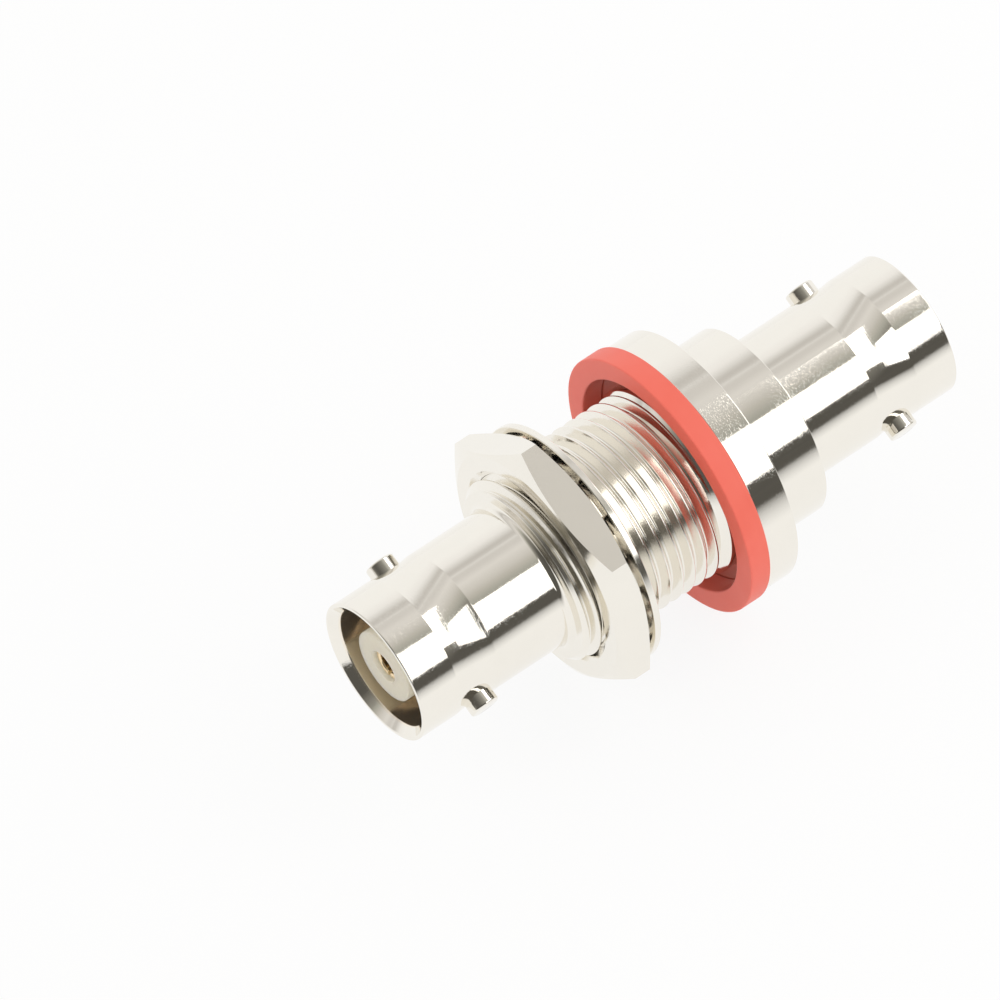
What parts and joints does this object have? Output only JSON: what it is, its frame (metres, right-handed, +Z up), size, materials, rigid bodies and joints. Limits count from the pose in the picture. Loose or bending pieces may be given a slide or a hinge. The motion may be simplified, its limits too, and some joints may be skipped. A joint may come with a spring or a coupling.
{
  "type": "bnc connector",
  "caption": "Coaxial bulkhead connector: a bayonet jack at each end of a threaded body with a flange, with its panel nut, toothed lock washer and sealing ring.",
  "frame": {"origin": "on the connector's axis, in the plane of the flange's panel face", "axes": "+X along the axis from the threaded front jack to the rear jack; +Z up, with the pair of bayonet lugs turned 23 degrees above the horizontal"},
  "size_m": [0.0414, 0.018, 0.0184],
  "materials": {
    "nickel_body": "polished",
    "nickel_nut": "polished",
    "nickel_washer": "satin",
    "insulator": "satin",
    "gold_contact": "polished",
    "red_seal": "satin"
  },
  "bodies": {
    "connector": {"main_body": "nickel_body", "rear_jack": "nickel_body", "front_insulator": "insulator", "rear_insulator": "insulator", "centre_contact": "gold_contact", "sealing_ring": "red_seal"},
    "washer": {"lock_washer": "nickel_washer"},
    "nut": {"hex_nut": "nickel_nut"}
  },
  "joints": [
    {"name": "washer_slide", "type": "slide", "parent": "connector", "child": "washer", "axis": [-1, 0, 0], "range_m": [-0.0059, 0.01633]},
    {"name": "nut_turn", "type": "hinge", "parent": "washer", "child": "nut", "pos_m": [-0.0098, 0, 0], "axis": [-1, 0, 0], "range_deg": [-2340, 6480]}
  ],
  "couplings": [
    {"joint": "washer_slide", "follows": "nut_turn", "m_per_rad": 0.00014438}
  ]
}
